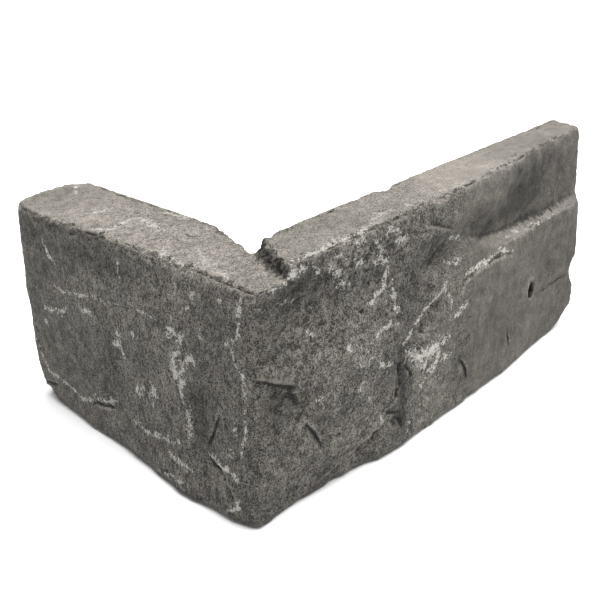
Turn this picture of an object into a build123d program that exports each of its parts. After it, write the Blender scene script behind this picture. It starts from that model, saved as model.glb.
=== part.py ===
"""Natural stone cladding corner piece, one solid.

The stone was split from a block, so its two outer faces are riven: they bulge, step along their bedding
and crumble at the arrises. Its two backs were sawn out at a right angle, to fit round a wall's corner.
The frame stands at that corner: the origin is where both sawn backs meet the bed, +X runs along the
long return, +Y along the short return, and +Z is up.
"""

import os
from dataclasses import dataclass
from math import cos, hypot, pi, sin, sqrt

from build123d import *

# Sizes of the piece, in millimetres
height = 100.0  # bed to the top of the long return
top_drop = 5.0  # the short return's top lies this much lower
long_return = 183.0  # wall corner to the end of the long return
short_return = 128.0  # wall corner to the end of the short return
long_thickness = 25.0  # long return beside the corner, at its top
long_end_thickness = 17.5  # long return at its end, at its top
short_thickness = 38.0  # short return beside the corner, at mid height
short_end_thickness = 37.0  # short return at its end, at mid height
short_lean = 9.0  # how much further out the short face's foot is than its head, beside the corner
short_end_lean = -3.5  # the same at its end, where the head stands out
long_end_skew = 18.0  # degrees that the long return's end is off square
short_end_skew = 2.0  # degrees that the short return's end is off square
short_end_tilt = 1.8  # degrees that it leans in towards its head

# Worn arrises
bed_round = 3.0  # the riven faces' lower arris
top_round = 2.6  # their upper arris
corner_round = 5.0  # the upright outer corner, in plan
end_round = 3.0  # a riven face where it meets an end
short_head_round = 15.0  # the same at the head of the short return's end
short_end_radius = 11.0  # the short return's back corner is worn quite round
long_end_radius = 2.5  # the long return's back corner

# Ledge of the long face: above it the rock is set back
ledge_height = 69.0
ledge_step = 3.8
ledge_run = 3.6  # width of the sloping ledge, measured up the face
ledge_fall = 6.0  # the ledge is this much higher at its start
ledge_start = 84.0  # from the wall corner
ledge_climb = 24.0  # before its start the ledge climbs to the top edge over this stretch

# Riser of the long face: the rock on its corner side stands proud
riser_place = 43.0  # from the wall corner
riser_step = 2.2
riser_run = 4.5
riser_height = 40.0  # above this the riser leans over along the bedding
riser_slope = 1.6  # millimetres along for each one up, above that height

# Parting of the bedding, open at the long return's end, with a pocket where it starts
parting_height = 29.5
parting_length = 48.0
parting_gap = 2.4  # at the end
parting_depth = 3.0
pocket_width = 2.6
pocket_height = 8.0
pocket_depth = 5.0

# Jagged break between the two tops: the corners of its foot, and how far its head is set back
break_corners = [
    (-10.0, 0.0),
    (-11.0, -4.0),
    (-15.0, -8.0),
    (-14.0, -12.0),
    (-18.5, -16.5),
    (-17.5, -20.0),
    (-20.0, -23.0),
]
break_batter = 3.0

# Chip at the inner corner's top, where the two saw cuts met; it just nicks the long return's back
notch_nick = 0.5
notch_head = [(0.0, 38.0), (-1.5, 27.0), (-6.0, 15.0), (-8.0, 6.5), (-10.0, 3.0), (-10.0, -notch_nick)]
notch_depth = 26.0
notch_narrowing = 8.0  # its foot is this many times narrower than its head

# Spacing of the facets that follow the riven faces
facet_along = 4.5
facet_up = 4.0
stock = 12.0  # rock beyond each end, sawn off


@dataclass
class Swell:
    """A rounded rise of a riven face, or a hollow where its height is negative."""

    along: float
    up: float
    half_along: float
    half_up: float
    height: float

    def at(self, along, up):
        reach = hypot((along - self.along) / self.half_along, (up - self.up) / self.half_up)
        return self.height * cos(min(reach, 1.0) * pi / 2) ** 2


@dataclass
class Spall:
    """A shell-shaped chip off an edge: the ball that fits its hollow."""

    place: tuple
    radius: float


# Rises and hollows, by place along the return from the wall corner and height above the bed
long_swells = [
    Swell(10.0, 52.0, 46.0, 40.0, 2.4),
    Swell(36.0, 18.0, 12.0, 22.0, 1.6),
    Swell(-22.0, 0.0, 46.0, 26.0, -4.4),
    Swell(12.0, 2.0, 16.0, 16.0, -2.2),
    Swell(-14.0, 86.0, 20.0, 14.0, -3.0),
    Swell(26.0, 82.0, 16.0, 20.0, -1.6),
    Swell(-30.0, 52.0, 10.0, 10.0, -1.6),
    Swell(84.0, 80.0, 16.0, 12.0, -2.4),
    Swell(66.0, 91.0, 18.0, 7.0, 1.4),
    Swell(104.0, 48.0, 36.0, 26.0, 1.4),
    Swell(64.0, 10.0, 26.0, 26.0, -2.0),
    Swell(158.0, 8.0, 34.0, 18.0, -1.8),
    Swell(184.0, 56.0, 18.0, 24.0, -4.0),
    Swell(184.0, 64.0, 14.0, 10.0, -1.4),
    Swell(130.0, 84.0, 26.0, 12.0, -1.0),
    Swell(160.0, 78.0, 16.0, 7.0, 1.2),
    Swell(2.0, 0.0, 9.0, 10.0, -2.0),
    Swell(18.0, 0.0, 8.0, 9.0, -2.0),
    Swell(46.0, 0.0, 9.0, 12.0, -1.8),
    Swell(168.0, 0.0, 12.0, 12.0, -1.5),
]
short_swells = [
    Swell(2.0, 40.0, 13.0, 34.0, -2.2),
    Swell(70.0, 52.0, 44.0, 36.0, 1.4),
    Swell(84.0, 8.0, 60.0, 40.0, 1.6),
    Swell(45.0, 88.0, 30.0, 12.0, -1.0),
    Swell(74.0, 9.0, 13.0, 8.0, -1.8),
    Swell(-12.0, 14.0, 18.0, 16.0, 1.6),
    Swell(20.0, 66.0, 26.0, 26.0, 1.0),
    Swell(64.0, 0.0, 20.0, 16.0, -1.6),
    Swell(20.0, 0.0, 30.0, 20.0, 1.6),
    Swell(-21.0, 0.0, 11.0, 16.0, -2.4),
    Swell(120.0, 32.0, 18.0, 24.0, 1.4),
    Swell(24.0, 0.0, 6.0, 6.0, -1.8),
]

# Chips off the long return's back edge, off the feet of both ends, and at the parting's mouth
spalls = [
    Spall((60.0, 7.0, height + 7.0), 11.5),
    Spall((-46.0, short_return + 6.0, -18.0), 30.0),
    Spall((long_return + 19.0, -30.0, -22.0), 43.0),
    Spall((long_return - 1.0, -28.0, parting_height - 0.5), 13.5),
]


def ramp(value, start, end):
    """A smooth step from 0 at start to 1 at end."""
    share = min(max((value - start) / (end - start), 0.0), 1.0)
    return share * share * (3 - 2 * share)


def blend(first, last, share):
    return first + (last - first) * share


def wear(distance, radius):
    """How far a worn arris of that radius lies inside the face, at this distance from the edge."""
    inside = min(max(distance / radius, 0.0), 1.0)
    return radius * (1 - sqrt(1 - (1 - inside) ** 2))


def ripple(along, up):
    """The unevenness that splitting leaves all over a riven face."""
    coarse = sin(along / 8.3 + 1.1 * sin(up / 13.0)) * cos(up / 9.7 + 0.9 * sin(along / 19.0))
    fine = sin(along / 3.9 + up / 5.3) * cos(up / 4.7 - along / 11.0)
    return 0.5 * coarse + 0.2 * fine


def ledge_line(along):
    """Height of the ledge's upper edge at a place along the long face."""
    fall = ledge_fall * (1 - ramp(along, ledge_start, ledge_start + ledge_climb))
    climb = (height - ledge_height) * (1 - ramp(along, ledge_start - ledge_climb, ledge_start))
    return ledge_height + fall + climb


def riser_line(up):
    """Place of the riser along the long face at a height."""
    return riser_place + riser_slope * max(up - riser_height, 0.0) + 2.0 * sin(up / 6.0)


def long_depth(along, up):
    """How far the long riven face stands out from its sawn back."""
    depth = blend(long_thickness, long_end_thickness, ramp(along, long_thickness, long_return))
    ledge = 1 - ramp(up, ledge_line(along) - ledge_run, ledge_line(along))
    proud = 1 - ramp(along, riser_line(up) - riser_run, riser_line(up))
    depth += blend(ledge_step * ledge, riser_step, proud)
    depth -= ledge_step * 0.7 * ramp(along, riser_place, long_return) * (1 - ramp(up, 0.0, ledge_height))
    depth += sum(swell.at(along, up) for swell in long_swells) + ripple(along, up)
    return depth - wear(up, bed_round) - wear(height - up, top_round) - wear(long_return - along, end_round)


def short_depth(along, up):
    """How far the short riven face stands out from its sawn back."""
    share = ramp(along, 0.0, short_return)
    lean = blend(short_lean, short_end_lean, share) * (0.5 - up / height)
    depth = blend(short_thickness, short_end_thickness, share) + lean
    depth += sum(swell.at(along, up) for swell in short_swells) + ripple(along + height, up)
    depth -= wear(up, bed_round) + wear(height - top_drop - up, top_round)
    return depth - wear(short_return - along, blend(end_round, short_head_round, ramp(up, height / 5, height)))


def stations(first, last, run):
    """Evenly spaced places from first to last, about one facet apart on a run of that length."""
    count = max(round(run / facet_along), 4)
    return [blend(first, last, i / count) for i in range(count + 1)]


def levels():
    """Heights of the outlines: evenly spaced, and closer together over the arrises and the ledge."""
    short_top = height - top_drop
    worn = [0.0, bed_round * 0.3, bed_round, short_top - top_round, short_top - top_round * 0.3, short_top]
    worn += [height - top_round * 0.3, height, ledge_height, ledge_height - ledge_run]
    count = round((short_top - top_round - bed_round) / facet_up)
    return sorted(worn + [blend(bed_round, short_top - top_round, i / count) for i in range(1, count)])


def outline(up):
    """Corners of the rough block at a height, before its ends and backs are sawn."""
    corner_x = -short_depth(0.0, up)
    corner_y = -long_depth(0.0, up)
    short_stations = stations(corner_y + corner_round, short_return + stock, short_return)
    long_stations = stations(corner_x + corner_round, long_return + stock, long_return)
    short_face = [(-short_depth(along, up), along) for along in reversed(short_stations)]
    long_face = [(along, -long_depth(along, up)) for along in long_stations]
    inset = corner_round * (1 - sqrt(0.5))
    arris = (short_face[-1][0] + inset, long_face[0][1] + inset)
    return [*short_face, arris, *long_face, (long_return + stock, short_return + stock)]


with BuildPart() as stone:
    # The split block, through level outlines from the bed to the top
    for up in levels():
        with BuildSketch(Plane.XY.offset(up)):
            with BuildLine():
                Polyline(*outline(up), close=True)
            make_face()
    loft(ruled=True)

    # The two ends, each a little off square
    long_end = Plane(origin=(long_return, 0, 0), z_dir=Vector(1, 0, 0).rotate(Axis.Z, -long_end_skew))
    split(bisect_by=long_end, keep=Keep.BOTTOM)
    short_normal = Vector(0, 1, 0).rotate(Axis.X, short_end_tilt).rotate(Axis.Z, short_end_skew)
    short_end = Plane(origin=(0, short_return, height / 2), z_dir=short_normal)
    split(bisect_by=short_end, keep=Keep.BOTTOM)

    # The wall's corner, sawn out of the back
    with BuildSketch():
        Rectangle(long_return + 2 * stock, short_return + 2 * stock, align=(Align.MIN, Align.MIN))
    extrude(amount=height, mode=Mode.SUBTRACT)

    # The worn back corners of both ends
    for direction, radius in ((Axis.Y, short_end_radius), (Axis.X, long_end_radius)):
        upright = stone.edges().filter_by(lambda edge: edge.length > height * 0.99)
        fillet(upright.sort_by(direction)[-1], radius)

    # The short return's lower top, down to a bedding plane that broke away along a jagged line
    beyond = short_return + stock
    block = [(stock, 0), (stock, beyond), (-beyond, beyond), (-beyond, -beyond)]
    foot = [*break_corners, (break_corners[-1][0], -beyond)]
    head = [(x + break_batter, y) for x, y in foot]
    with BuildSketch(Plane.XY.offset(height - top_drop)):
        with BuildLine():
            Polyline(*block, *reversed(foot), close=True)
        make_face()
    with BuildSketch(Plane.XY.offset(height)):
        with BuildLine():
            Polyline(*block, *reversed(head), close=True)
        make_face()
    loft(ruled=True, mode=Mode.SUBTRACT)

    # The chip at the inner corner
    with BuildSketch(Plane.XY.offset(height - top_drop)):
        with BuildLine():
            Polyline(*notch_head, (0, -notch_nick), close=True)
        make_face()
    with BuildSketch(Plane.XY.offset(height - top_drop - notch_depth)):
        with BuildLine():
            Polyline(*[(x / notch_narrowing, y) for x, y in notch_head], (0, -notch_nick), close=True)
        make_face()
    loft(ruled=True, mode=Mode.SUBTRACT)

    # The parting that opens towards the long return's end, and the pocket where it starts
    parting_start = long_return - parting_length
    face_depth = long_depth(parting_start, parting_height)
    with BuildSketch(Plane.XZ.offset(face_depth - parting_depth)):
        with BuildLine():
            Polyline(
                (parting_start, parting_height),
                (long_return + stock, parting_height + parting_gap / 2),
                (long_return + stock, parting_height - parting_gap / 2),
                close=True,
            )
        make_face()
    extrude(amount=stock, mode=Mode.SUBTRACT)
    with BuildSketch(Plane.XZ.offset(face_depth - pocket_depth)):
        with Locations((parting_start, parting_height)):
            Rectangle(pocket_width, pocket_height, rotation=-12, align=(Align.CENTER, Align.MIN))
    extrude(amount=stock, mode=Mode.SUBTRACT)

    for spall in spalls:
        with Locations(spall.place):
            Sphere(spall.radius, mode=Mode.SUBTRACT)

stone.part.label = "corner_stone"
os.makedirs("parts", exist_ok=True)
export_step(stone.part, "parts/corner_stone.step")
print("solids", len(stone.part.solids()), "volume", stone.part.volume, "faces", len(stone.part.faces()))
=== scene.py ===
"""Dress the stone cladding corner piece with riven rock, then set it on a pale floor in soft studio light."""

from itertools import product
from math import cos, radians, sin

import bpy
import numpy as np
from bpy.props import FloatProperty, FloatVectorProperty, IntProperty, PointerProperty
from mathutils import Euler, Matrix, Vector


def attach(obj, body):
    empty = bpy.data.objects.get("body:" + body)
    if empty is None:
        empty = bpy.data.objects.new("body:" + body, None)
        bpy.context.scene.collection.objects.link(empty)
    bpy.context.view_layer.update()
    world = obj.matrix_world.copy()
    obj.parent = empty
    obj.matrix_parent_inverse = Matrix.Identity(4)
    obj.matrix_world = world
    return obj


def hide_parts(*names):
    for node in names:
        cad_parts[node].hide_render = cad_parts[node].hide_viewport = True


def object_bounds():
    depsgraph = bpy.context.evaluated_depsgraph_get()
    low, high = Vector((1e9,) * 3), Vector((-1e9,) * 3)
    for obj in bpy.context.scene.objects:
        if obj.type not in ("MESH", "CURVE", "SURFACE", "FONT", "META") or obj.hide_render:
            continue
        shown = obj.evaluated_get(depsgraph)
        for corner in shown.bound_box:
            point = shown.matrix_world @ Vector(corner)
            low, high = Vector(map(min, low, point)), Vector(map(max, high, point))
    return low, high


bl_info = {
    "name": "Stone Corner Piece",
    "version": (1, 0, 0),
    "blender": (4, 5, 0),
    "location": "View3D > Sidebar > Corner Stone",
    "description": "Riven relief, mineral marks, rock finish and a studio stage for a cladding corner piece",
    "category": "Object",
}

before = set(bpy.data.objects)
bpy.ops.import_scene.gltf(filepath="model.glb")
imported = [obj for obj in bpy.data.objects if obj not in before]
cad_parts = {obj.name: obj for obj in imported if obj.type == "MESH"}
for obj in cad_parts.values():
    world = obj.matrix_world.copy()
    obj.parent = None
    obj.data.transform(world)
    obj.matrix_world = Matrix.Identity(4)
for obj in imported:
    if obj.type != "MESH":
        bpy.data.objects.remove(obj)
CAD_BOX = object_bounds()

MM = 1000.0  # millimetres in a metre
NODE = "corner_stone"
PIECE = "riven_stone"

# Places and heights on the stone, in millimetres. A pair is a place, or where a change starts and ends.
CORNER = (-37.0, -22.0)  # the outer corner in plan
SCOOP = (-44.0, 96.0)  # where the ribs of the corner's scoop fan out from, along and up
BOSS_END = (55.0, 75.0)  # the rugged boss of the long face fades out here
BREAK_WALL = (-30.0, -27.0)  # the wall of the broken bed on the short return's top
CALM_RUN = (45.0, 100.0)  # the long return grows calmer here
CALM_SHORT_RUN = (35.0, 110.0)  # and so does the short one
RISER = 42.0  # foot of the riser on the long face
RISER_TURN = 35.0  # the riser leans over above this height
RISER_LEAN = 0.75  # along, for each one up
BEDDING = 62  # degrees from level that the short face's ribs run at
CRUST = 0.12  # how proud the mineral stands
FRAYING = 0.5  # how deep the tops' outer arrises are frayed
CRUMBLING = 0.8  # how rough the long face is below its top
BREAK_SHADE = 0.45  # how much painted shade darkens the wall of the broken bed

# Looks, with lengths in metres. A pair of tones is where the dark grain ends and the light one starts.
ROCK_TONES = (0.37, 0.655)
TOP_TONES = (0.34, 0.66)
SAWN_TONES = (0.36, 0.64)
CONTRAST = (2.0, 0.42)  # of the grain beside the corner, and where the stone is calm
STAIN_AND_SHADE_VALUES = (0.4, 1.6)  # how dark and how light stains and painted shade make the stone
DUST_CUT = 0.42  # a higher cut leaves smaller patches
MINERAL_CUT = 0.55
BUMP = 0.0007
SAW_PITCH = 0.0018  # between the saw's faint lines
SAW_RUN = 0.02  # their pitch, divided by their length
SAW_STRENGTH = 0.28  # how far they lighten and darken the stone

# The camera: degrees, millimetres, and its place in metres.
CAMERA_YAW, CAMERA_PITCH, CAMERA_ROLL = 43.147, 25.130, 3.498
CAMERA_LENS, CAMERA_SENSOR = 61.745, 36.0
CAMERA_PLACE = (-0.23208, -0.25931, 0.23523)
FLOOR_REACH = 6.0  # metres from the origin to the floor's sides
LIGHT_SPREAD = 60  # degrees
LIGHT_TILT = (12, 6, 0)  # degrees about X, Y and Z

# Marks, in millimetres. A stroke is a line of points, its half width and its strength.
# The long face is read along X and up Z, the short face along Y and up Z, and the tops in X and Y.
LONG_MINERAL = (
    # This first stroke, along the long face's top arris, is partly mineral crust and partly a painted
    # highlight.
    (((-34, 94), (-29, 95), (-21, 95), (-15, 96), (-8, 97)), 1.1, 0.95),
    (((-26, 88), (-15, 85)), 0.7, 0.4),
    (((32.2, 82.4), (30.5, 78.5), (28.4, 74.8), (22.4, 72.3), (19.5, 72.1)), 0.7, 1.0),
    (((14.7, 89.8), (19, 88)), 1.5, 0.75),
    (((23.1, 86.3), (28.9, 87.1), (32, 84)), 1.3, 0.75),
    (((2, 92), (6, 88), (8, 83)), 2.0, 0.65),
    (((36, 93), (42, 90)), 1.8, 0.6),
    (((33.7, 74.8), (33.3, 70.6), (34.1, 67)), 1.4, 0.95),
    (((34.1, 65.8), (37.6, 61.1)), 1.0, 0.9),
    (((34.9, 57.6), (30, 59.5), (26.2, 59.9), (21.6, 59.2), (19.7, 56.3), (21.5, 53)), 0.75, 1.0),
    (((21.5, 53), (22.9, 50.2), (21.3, 47.1), (26, 44), (31.1, 42.1)), 0.95, 1.0),
    (((16.8, 56.5), (15.7, 51.5), (14.5, 48.2)), 0.9, 0.7),
    (((7.5, 61.5), (5.6, 60), (8, 59)), 1.1, 0.85),
    (((-9.9, 45.2), (-8.2, 41.2)), 0.7, 1.0),
    (((-10, 72), (-10, 70)), 1.0, 0.5),
    (((39.2, 48.1), (43, 50), (48.5, 52.3), (55.7, 57.2), (64.2, 60.8), (68.3, 64.2)), 0.55, 1.0),
    (((42.6, 41.3), (48.9, 37.6), (58.1, 38), (65, 38.1)), 3.2, 1.0),
    (((62, 37), (60, 31), (54.1, 27.4)), 2.2, 0.9),
    (((50, 34), (54, 31)), 2.0, 0.8),
    (((68.1, 30.5), (64, 30)), 1.1, 0.7),
    (((49.7, 25.3), (52, 22)), 1.0, 0.6),
    (((22.5, 22.6), (23.9, 19.9), (25, 17.3)), 1.2, 0.7),
    (((43, 14), (41, 8), (37, 4)), 0.6, 0.5),
    (((66, 72), (71, 70), (78, 70)), 1.1, 0.6),
    (((70, 80), (74, 80), (79, 77.5)), 1.0, 0.65),
    (((79.5, 62), (85.8, 63), (94.4, 63), (102.7, 63)), 0.7, 0.9),
    (((100, 63.5), (105, 63.5), (110.8, 62.4), (115, 61)), 1.1, 0.8),
    (((112, 67.6), (126.6, 66.8), (139.2, 66), (151.7, 65.3)), 0.4, 0.42),
    (((-6, 94.5), (-3, 92.5)), 1.0, 0.6),
    (((6, 96.5), (9.5, 93)), 1.3, 0.62),
    (((14, 97.5), (20, 96)), 1.8, 0.6),
    (((26, 95.5), (29, 91)), 1.1, 0.62),
    (((33, 96.5), (38, 94.5)), 1.4, 0.6),
    (((71, 46), (75.9, 48), (79, 49)), 1.1, 0.8),
    (((66, 62), (68.5, 57), (69, 52)), 0.8, 0.5),
    (((10, 40), (12, 36)), 1.0, 0.5),
    (((17, 34), (19, 28)), 1.0, 0.45),
)
SHORT_MINERAL = (
    (((6.8, 87.2), (6.2, 86)), 1.6, 0.8),
    (((9.9, 79.7), (8.4, 79.3)), 1.2, 0.6),
    (((3, 74), (2, 70)), 1.0, 0.45),
    (((107.6, 50.9), (100.2, 52.1), (94.7, 53.2)), 0.9, 0.75),
    (((95, 52), (92, 54), (87, 57)), 0.9, 0.75),
    (((75.2, 59.2), (71.7, 61.2), (69.3, 60.3)), 1.3, 0.85),
    (((109.8, 44.3), (109.3, 42)), 1.0, 0.7),
    (((53.6, 56.5), (52.3, 52.7), (55.8, 50.5)), 1.6, 0.9),
    (((50.7, 47.7), (52, 50)), 1.0, 0.7),
    (((43.9, 58.4), (41.2, 57.8)), 1.2, 0.7),
    (((43.1, 37.2), (43.6, 33.7), (38.2, 36.8)), 1.3, 0.85),
    (((32.7, 41.1), (31.5, 38.2), (34, 36)), 1.7, 0.9),
    (((32.6, 35.6), (32.7, 32.4)), 0.9, 0.6),
    (((19.6, 67.6), (16.3, 69.5), (11.9, 68.3), (13.4, 63.4)), 1.3, 1.0),
    (((13.4, 63.4), (17.4, 57.1), (17.8, 51.9), (14, 53), (12.1, 55.7)), 1.5, 1.0),
    (((12.1, 55.7), (8.9, 61.5), (7.2, 59)), 1.0, 0.85),
    (((13, 51.4), (15.2, 46.3), (13.7, 42.1)), 1.1, 0.9),
    (((12.1, 38.9), (12, 33.6), (11.4, 25.5)), 1.0, 0.75),
    (((47, 20), (42, 18.6), (34.8, 18.9), (28, 20.1)), 1.1, 0.85),
    (((28, 20.1), (22, 20.8), (14, 23.5)), 0.9, 0.8),
    (((23.8, 16.2), (20.5, 14.4), (13.8, 13.7), (9.4, 13.8)), 1.0, 0.75),
    (((32.2, 3.8), (22.9, 6.1), (14.4, 6.8), (10.6, 6.8)), 0.8, 0.75),
    (((100.8, 85), (99.5, 80.8), (96.9, 77.6), (92.8, 75.3)), 0.5, 0.75),
    (((98.7, 65.7), (88.8, 64.4), (76.1, 66.5), (66.3, 68), (56.4, 67.6), (45.1, 71.7)), 0.25, 0.6),
    (((49.9, 91.5), (49.9, 85.5), (48.6, 80)), 0.25, 0.55),
    (((45, 71.7), (30.9, 70.9), (21.3, 69.9)), 0.25, 0.5),
    (((120.4, 31.1), (118, 25.6), (115, 17.5), (101.9, 16.3), (90.1, 14.6)), 0.5, 0.75),
    (((90.8, 12.9), (79.4, 15.8), (74.6, 19.6)), 1.0, 0.8),
    (((74.6, 18), (65.3, 20.7), (59.8, 23.9)), 0.9, 0.8),
    (((0.2, 24.6), (-8.4, 23.7), (-18.4, 21.4)), 0.7, 1.0),
    (((-17.5, 12.2), (-16, 9), (-10.6, 5)), 0.7, 1.0),
    (((-11, 88), (-7, 88)), 1.2, 0.7),
    (((-16, 45), (-15.8, 40)), 1.2, 0.6),
    (((-12, 27), (-14, 32)), 1.0, 0.5),
)
TOP_MINERAL = (
    (((-7.4, 118.8), (-13, 109.9)), 0.5, 0.6),
    (((-21.4, 83.3), (-16.5, 81.6)), 1.0, 0.6),
    (((-32.7, 68.5), (-29.2, 61.8), (-22.7, 64.2), (-17.7, 64.5), (-13.6, 63.5)), 0.8, 0.95),
    (((-13.6, 63.5), (-14.5, 58), (-15.4, 54.6), (-16.3, 47), (-16.4, 40.7)), 0.8, 0.95),
    (((-14.1, 59.6), (-15.8, 50.7), (-18.5, 45.6)), 1.2, 0.7),
    (((-4, 61), (-3, 54), (-2, 47)), 1.5, 0.7),
    (((-6, 37), (-5, 33)), 1.2, 0.6),
    (((-28.2, 31.5), (-31.8, 21), (-33.3, 11.9), (-34.5, 6.3)), 2.2, 0.75),
    (((-33, 44), (-33, 39)), 1.6, 0.5),
    (((-17.1, -25), (-3, -24.6), (11.9, -24.4), (23.5, -25)), 1.6, 0.65),
    (((16.5, -24), (22.5, -24.8), (37.2, -18.2), (41.4, -20)), 1.6, 0.7),
    (((48, -22), (60, -20)), 1.5, 0.5),
    (((-20, 20), (-24, 12), (-28, 2), (-30, -8)), 1.6, 0.35),
)
# Strokes down the corner arris, read round the corner: minus along the short face, plus along the long one.
ARRIS_MINERAL = (
    (((0.5, 93), (-1.4, 87.1), (-2.3, 78), (-6.6, 73), (-5.6, 67.1), (-1.8, 63.1), (-1.5, 54.7)), 0.5, 0.84),
    (((-1.5, 54.7), (-2.1, 50), (-2, 44), (-4.7, 36), (-6.2, 28)), 0.45, 0.56),
    (((-8, 73), (-10, 71)), 0.9, 0.65),
)

# The longest lines of points: the ledge and the step below it on the long face, and the short face's foot.
LEDGE_LINE = (
    (176, 66), (168, 66.5), (152, 68.5), (139, 69.2), (127, 70),
    (117, 70.6), (108, 71), (95, 73.6), (86, 77), (79, 80),
)
STEP_LINE = ((72, 53), (79.5, 60), (85.8, 61.5), (94.4, 61.7), (102.7, 61.7), (110.8, 61), (120.9, 58.5))
FOOT_LINE = ((0.9, 24.4), (-0.8, 21.6), (-5.8, 22.1), (-10.2, 20), (-13.4, 14.8), (-15.6, 11.4))

# Cracks: points, half width to their right, half width to their left, depth, darkness, the painted shade
# in the groove. Each side of the line, going along its points, is cut down to the depth and rises back
# over its own half width.
LONG_CRACKS = (
    (((-19.4, 52.2), (-20.5, 54.6), (-29.1, 58.4), (-34.1, 61.6), (-39.4, 63.8)), 0.8, 6.0, 1.6, 0.75),
    (((-19, 46), (-20.5, 50), (-23, 53)), 1.1, 3.0, 0.8, 0.6),
    (((-8.3, 22.1), (-8.9, 25.9), (-10.7, 29.8), (-13.9, 33.8), (-16.2, 38.3)), 0.45, 2.2, 1.0, 1.0),
    (((16.6, 71.6), (14.3, 69.9)), 0.6, 1.5, 0.8, 0.9),
    (((36, 41), (35.2, 38.4), (36.4, 36), (35.8, 33.5)), 0.75, 1.8, 1.6, 1.0),
    (((39, 38.5), (40.6, 36), (41.9, 34.3), (43.1, 30.8)), 0.55, 1.5, 0.9, 0.9),
    (((37, 33), (36, 30.8), (36.9, 29)), 0.5, 1.2, 0.8, 0.8),
    (((34.9, 29.6), (33.7, 27.6), (33.8, 25.4)), 0.95, 1.2, 2.0, 1.0),
    (((26.8, 21.1), (30.6, 20.4), (32.4, 18.6), (35.5, 18)), 0.55, 2.0, 1.0, 0.9),
    (((31.4, 19), (32.6, 16.8), (34.4, 15.3), (35.9, 12.5), (37.7, 9.4)), 0.85, 3.0, 1.6, 1.0),
    (((29.8, 17.5), (31, 15.5), (31.2, 13.5)), 0.7, 1.5, 1.0, 0.85),
    (((21.5, 79.5), (22.8, 77.6)), 0.6, 1.2, 0.6, 0.8),
    (((5.5, 86.5), (7.6, 85.2)), 0.6, 1.5, 0.5, 0.6),
    (((47.5, 75.5), (45.5, 73), (44.8, 70.8)), 0.5, 1.6, 0.7, 0.7),
    (((22, 17), (18.5, 14.1), (14.5, 12.9), (10, 11.3)), 0.7, 4.5, 1.9, 0.95),
    (((10, 11.3), (2.8, 9.3), (-3.7, 7.2), (-10.7, 3.7)), 0.7, 4.5, 1.7, 0.6),
    (((68.6, 82), (65.6, 78.5), (60.4, 75.8), (54.4, 72.4)), 0.6, 3.5, 0.8, 0.5),
    (((53.7, 92), (59.4, 90.8), (66.1, 87.9), (73.3, 84)), 0.5, 3.0, 0.9, 0.45),
    (((133.7, 40), (134.3, 36), (135, 31.5)), 1.2, 1.2, 2.4, 1.0),
    (((138, 30), (150, 29.6), (165, 29.5), (177, 29.5)), 0.8, 1.8, 0.4, 0.25),
    (((83.1, 11.4), (81.6, 16.9), (79.7, 21), (75.1, 25.2)), 0.4, 1.5, 0.8, 0.95),
    (((117, 12.3), (116.4, 17.5), (115.3, 23.3)), 0.4, 1.2, 0.5, 0.5),
    (LEDGE_LINE, 7.0, 1.8, 1.3, 0.0),
    (STEP_LINE, 0.7, 6.0, 0.8, 0.0),
    (((44, 6), (50, 18), (57, 30)), 2.5, 9.0, 0.8, 0.0),
)
SHORT_CRACKS = (
    (((2, 26.3), (-1.9, 34.1), (-7.6, 43.2)), 0.45, 1.4, 0.9, 1.0),
    (((4.3, 17.8), (2.8, 15.4), (1, 12.3)), 0.4, 1.0, 0.6, 0.7),
    (FOOT_LINE, 0.6, 2.0, 1.4, 1.0),
    (((122.2, 9.6), (112.3, 11.6), (108.5, 12.4)), 0.6, 2.5, 0.8, 0.6),
    (((60.3, 19.1), (71, 16.9), (79.6, 15.1)), 0.5, 3.0, 0.9, 0.75),
    (((8, 44), (9, 34), (7, 26)), 1.2, 5.0, 0.7, 0.0),
)
TOP_CRACKS = (
    (((-34.5, -12.3), (-33, -15.7), (-30.7, -18.1)), 0.5, 1.5, 0.6, 0.6),
    (((-40, -14), (-39.9, -19.8), (-38, -23)), 0.6, 1.5, 0.6, 0.5),
    (((-13.6, 36), (-13.8, 31), (-11, 30)), 0.5, 2.0, 0.8, 0.6),
    (((-33, -12), (-32, -19), (-33, -23)), 0.5, 1.5, 0.5, 0.5),
)

# Broad soft swells (plus) and hollows (minus): place, reach both ways, height, all in millimetres.
LONG_FORMS = (
    (64, 77, 11, 6, -2.0),
    (60, 88, 18, 4.5, 1.6),
    (45, 70, 12, 10, -0.9),
    (-14, 76, 15, 9, -1.5),
    (-28, 68, 8, 5, -0.9),
    (-26, 66, 12, 5, 0.8),
    (-27, 53, 9, 5, -0.8),
    (10, 50, 20, 13, 0.8),
    (27, 52, 4, 8, -0.8),
    (52, 50, 7, 9, -1.1),
    (58, 62, 6, 5, 0.8),
    (6, 22, 18, 11, 0.6),
    (40, 24, 5, 12, -1.4),
    (52, 38, 9, 5, 0.7),
    (95, 80, 16, 7, -0.7),
    (135, 82, 22, 8, -0.5),
)
SHORT_FORMS = (
    (100, 60, 14, 18, 0.5),
    (60, 40, 22, 22, -0.5),
    (5, 60, 12, 18, 0.5),
    (30, 80, 20, 9, 0.5),
)
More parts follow.
